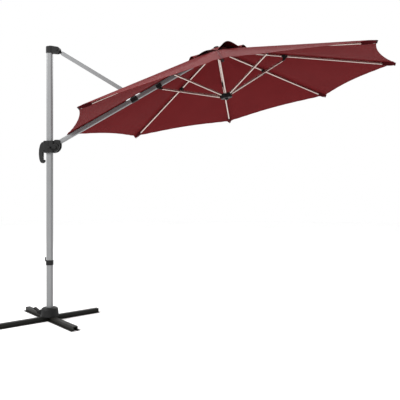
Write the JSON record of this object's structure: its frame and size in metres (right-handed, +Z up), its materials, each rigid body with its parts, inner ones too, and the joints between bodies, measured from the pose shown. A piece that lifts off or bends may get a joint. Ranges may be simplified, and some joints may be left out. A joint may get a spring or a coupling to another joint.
{
  "type": "patio umbrella with base",
  "caption": "Offset patio umbrella: swivelling cross base, upright mast, upper arm and boom, sliding grip with winch, and a vented octagonal folding canopy.",
  "frame": {"origin": "on the ground at the centre of the cross base, on the mast's axis", "axes": "+Z up along the mast, +X from the mast towards the canopy, along the boom's plane; +Y completes the right-handed frame"},
  "size_m": [3.4852, 3.0056, 2.524],
  "materials": {
    "powder_coated_steel": "matte",
    "zinc_plated_steel": "satin",
    "pedal_steel": "matte",
    "grey_aluminium": "satin",
    "black_nylon": "matte",
    "canopy_cloth": "matte"
  },
  "bodies": {
    "base": {"base_bar_long": "powder_coated_steel", "base_bar_short": "powder_coated_steel", "centre_plate": "powder_coated_steel", "lock_ring": "powder_coated_steel", "pivot_post": "powder_coated_steel", "base_bolts": "zinc_plated_steel"},
    "mast": {"base_cover": "black_nylon", "lower_mast": "grey_aluminium", "upper_mast": "grey_aluminium", "mast_spigot": "grey_aluminium", "swivel_bushes": "black_nylon", "mast_collar": "black_nylon", "mast_cap": "black_nylon", "mast_pins": "zinc_plated_steel"},
    "pedal": {"foot_pedal": "pedal_steel"},
    "slider": {"slider_housing": "black_nylon", "housing_screws": "zinc_plated_steel", "glide_pads": "black_nylon", "boom_pin": "zinc_plated_steel", "grip_handle": "black_nylon", "winch_case": "black_nylon"},
    "crank": {"crank_arm": "black_nylon", "winch_reel": "black_nylon"},
    "knob": {"crank_knob": "black_nylon"},
    "trigger": {"release_trigger": "black_nylon"},
    "arm": {"upper_arm": "grey_aluminium", "arm_ends": "black_nylon"},
    "boom": {"boom_tube": "grey_aluminium", "boom_foot": "black_nylon", "boom_head": "black_nylon", "boom_brackets": "black_nylon", "canopy_panel_0": "canopy_cloth"},
    "crown": {"crown_hub": "black_nylon", "rib_pins": "zinc_plated_steel", "crown_finial": "black_nylon", "vent_cap": "canopy_cloth"},
    "boom_strut": {"boom_strut": "grey_aluminium"},
    "lower_hub": {"lower_hub": "black_nylon", "strut_pins": "zinc_plated_steel"},
    "rib_1": {"rib_1": "grey_aluminium", "canopy_panel_1": "canopy_cloth"},
    "strut_1": {"strut_1": "grey_aluminium"},
    "rib_2": {"rib_2": "grey_aluminium", "canopy_panel_2": "canopy_cloth"},
    "strut_2": {"strut_2": "grey_aluminium"},
    "rib_3": {"rib_3": "grey_aluminium", "canopy_panel_3": "canopy_cloth"},
    "strut_3": {"strut_3": "grey_aluminium"},
    "rib_4": {"rib_4": "grey_aluminium", "canopy_panel_4": "canopy_cloth"},
    "strut_4": {"strut_4": "grey_aluminium"},
    "rib_5": {"rib_5": "grey_aluminium", "canopy_panel_5": "canopy_cloth"},
    "strut_5": {"strut_5": "grey_aluminium"},
    "rib_6": {"rib_6": "grey_aluminium", "canopy_panel_6": "canopy_cloth"},
    "strut_6": {"strut_6": "grey_aluminium"},
    "rib_7": {"rib_7": "grey_aluminium", "canopy_panel_7": "canopy_cloth"},
    "strut_7": {"strut_7": "grey_aluminium"}
  },
  "joints": [
    {"name": "mast_swivel", "type": "hinge", "parent": "base", "child": "mast", "pos_m": [0, 0, 0], "axis": [0, 0, 1], "continuous": true},
    {"name": "pedal_press", "type": "hinge", "parent": "mast", "child": "pedal", "pos_m": [-0.098, 0, 0.076], "axis": [0, -1, 0], "range_deg": [0, 18], "stiffness_Nm_per_rad": 2, "springref_deg": -8.59},
    {"name": "boom_fold", "type": "hinge", "parent": "mast", "child": "arm", "pos_m": [0.072, 0, 2.484], "axis": [0, 1, 0], "range_deg": [-11.6, 55.6]},
    {"name": "arm_clamp_hinge", "type": "hinge", "parent": "arm", "child": "boom", "pos_m": [0.77248, 0, 2.05619], "axis": [0, 1, 0], "range_deg": [-111.3, 23.3]},
    {"name": "slider_level", "type": "hinge", "parent": "boom", "child": "slider", "pos_m": [0.072, 0, 1.62838], "axis": [0, 1, 0], "range_deg": [-11.7, 55.7]},
    {"name": "trigger_squeeze", "type": "hinge", "parent": "slider", "child": "trigger", "pos_m": [-0.064, 0, 1.55438], "axis": [0, 1, 0], "range_deg": [0, 8], "stiffness_Nm_per_rad": 0.5, "springref_deg": -11.46},
    {"name": "canopy_fold", "type": "hinge", "parent": "boom", "child": "crown", "pos_m": [1.50776, 0, 2.42097], "axis": [0, 1, 0], "range_deg": [0, 68.4], "deforming": ["canopy_panel_0", "canopy_panel_1", "canopy_panel_2", "canopy_panel_3", "canopy_panel_4", "canopy_panel_5", "canopy_panel_6", "canopy_panel_7", "vent_cap"]},
    {"name": "crank_turn", "type": "hinge", "parent": "slider", "child": "crank", "pos_m": [0.066, 0, 1.58638], "axis": [0, 1, 0], "range_deg": [0, 4321]},
    {"name": "knob_spin", "type": "hinge", "parent": "crank", "child": "knob", "pos_m": [0.02, 0, 1.58638], "axis": [0, 1, 0], "continuous": true},
    {"name": "boom_strut_hinge", "type": "hinge", "parent": "boom", "child": "boom_strut", "pos_m": [1.02859, 0, 2.1199], "axis": [0, 1, 0], "range_deg": [-0.1, 136.9]},
    {"name": "hub_level", "type": "hinge", "parent": "boom_strut", "child": "lower_hub", "pos_m": [1.58762, 0, 2.03194], "axis": [0, 1, 0], "range_deg": [-68.5, 0.1]},
    {"name": "rib_1_fold", "type": "hinge", "parent": "crown", "child": "rib_1", "pos_m": [1.51625, 0.02687, 2.43496], "axis": [-0.6927, -0.7071, -0.1422], "range_deg": [-0.1, 68.5]},
    {"name": "strut_1_hinge", "type": "hinge", "parent": "rib_1", "child": "strut_1", "pos_m": [1.18912, 0.40158, 2.1651], "axis": [-0.6927, -0.7071, -0.1422], "range_deg": [-136.9, 0.1]},
    {"name": "rib_2_fold", "type": "hinge", "parent": "crown", "child": "rib_2", "pos_m": [1.54257, 0.038, 2.44036], "axis": [-0.9796, 0, -0.2011], "range_deg": [-0.1, 68.5]},
    {"name": "strut_2_hinge", "type": "hinge", "parent": "rib_2", "child": "strut_2", "pos_m": [1.5825, 0.56792, 2.24585], "axis": [-0.9796, 0, -0.2011], "range_deg": [-136.9, 0.1]},
    {"name": "rib_3_fold", "type": "hinge", "parent": "crown", "child": "rib_3", "pos_m": [1.56889, 0.02687, 2.44577], "axis": [-0.6927, 0.7071, -0.1422], "range_deg": [-0.1, 68.5]},
    {"name": "strut_3_hinge", "type": "hinge", "parent": "rib_3", "child": "strut_3", "pos_m": [1.97588, 0.40158, 2.3266], "axis": [-0.6927, 0.7071, -0.1422], "range_deg": [-136.9, 0.1]},
    {"name": "rib_4_fold", "type": "hinge", "parent": "crown", "child": "rib_4", "pos_m": [1.5798, 0, 2.448], "axis": [0, 1, 0], "range_deg": [-0.1, 68.5]},
    {"name": "strut_4_hinge", "type": "hinge", "parent": "rib_4", "child": "strut_4", "pos_m": [2.13882, 0, 2.36005], "axis": [0, 1, 0], "range_deg": [-136.9, 0.1]},
    {"name": "rib_5_fold", "type": "hinge", "parent": "crown", "child": "rib_5", "pos_m": [1.56889, -0.02687, 2.44577], "axis": [0.6927, 0.7071, 0.1422], "range_deg": [-0.1, 68.5]},
    {"name": "strut_5_hinge", "type": "hinge", "parent": "rib_5", "child": "strut_5", "pos_m": [1.97588, -0.40158, 2.3266], "axis": [0.6927, 0.7071, 0.1422], "range_deg": [-136.9, 0.1]},
    {"name": "rib_6_fold", "type": "hinge", "parent": "crown", "child": "rib_6", "pos_m": [1.54257, -0.038, 2.44036], "axis": [0.9796, 0, 0.2011], "range_deg": [-0.1, 68.5]},
    {"name": "strut_6_hinge", "type": "hinge", "parent": "rib_6", "child": "strut_6", "pos_m": [1.5825, -0.56792, 2.24585], "axis": [0.9796, 0, 0.2011], "range_deg": [-136.9, 0.1]},
    {"name": "rib_7_fold", "type": "hinge", "parent": "crown", "child": "rib_7", "pos_m": [1.51625, -0.02687, 2.43496], "axis": [0.6927, -0.7071, 0.1422], "range_deg": [-0.1, 68.5]},
    {"name": "strut_7_hinge", "type": "hinge", "parent": "rib_7", "child": "strut_7", "pos_m": [1.18912, -0.40158, 2.1651], "axis": [0.6927, -0.7071, 0.1422], "range_deg": [-136.9, 0.1]}
  ],
  "couplings": [
    {"joint": "arm_clamp_hinge", "follows": "boom_fold", "ratio": -2},
    {"joint": "slider_level", "follows": "boom_fold", "ratio": 1},
    {"joint": "crank_turn", "follows": "canopy_fold", "ratio": 63.158},
    {"joint": "boom_strut_hinge", "follows": "canopy_fold", "ratio": 2},
    {"joint": "hub_level", "follows": "canopy_fold", "ratio": -1},
    {"joint": "rib_1_fold", "follows": "canopy_fold", "ratio": 1},
    {"joint": "strut_1_hinge", "follows": "canopy_fold", "ratio": -2},
    {"joint": "rib_2_fold", "follows": "canopy_fold", "ratio": 1},
    {"joint": "strut_2_hinge", "follows": "canopy_fold", "ratio": -2},
    {"joint": "rib_3_fold", "follows": "canopy_fold", "ratio": 1},
    {"joint": "strut_3_hinge", "follows": "canopy_fold", "ratio": -2},
    {"joint": "rib_4_fold", "follows": "canopy_fold", "ratio": 1},
    {"joint": "strut_4_hinge", "follows": "canopy_fold", "ratio": -2},
    {"joint": "rib_5_fold", "follows": "canopy_fold", "ratio": 1},
    {"joint": "strut_5_hinge", "follows": "canopy_fold", "ratio": -2},
    {"joint": "rib_6_fold", "follows": "canopy_fold", "ratio": 1},
    {"joint": "strut_6_hinge", "follows": "canopy_fold", "ratio": -2},
    {"joint": "rib_7_fold", "follows": "canopy_fold", "ratio": 1},
    {"joint": "strut_7_hinge", "follows": "canopy_fold", "ratio": -2}
  ]
}
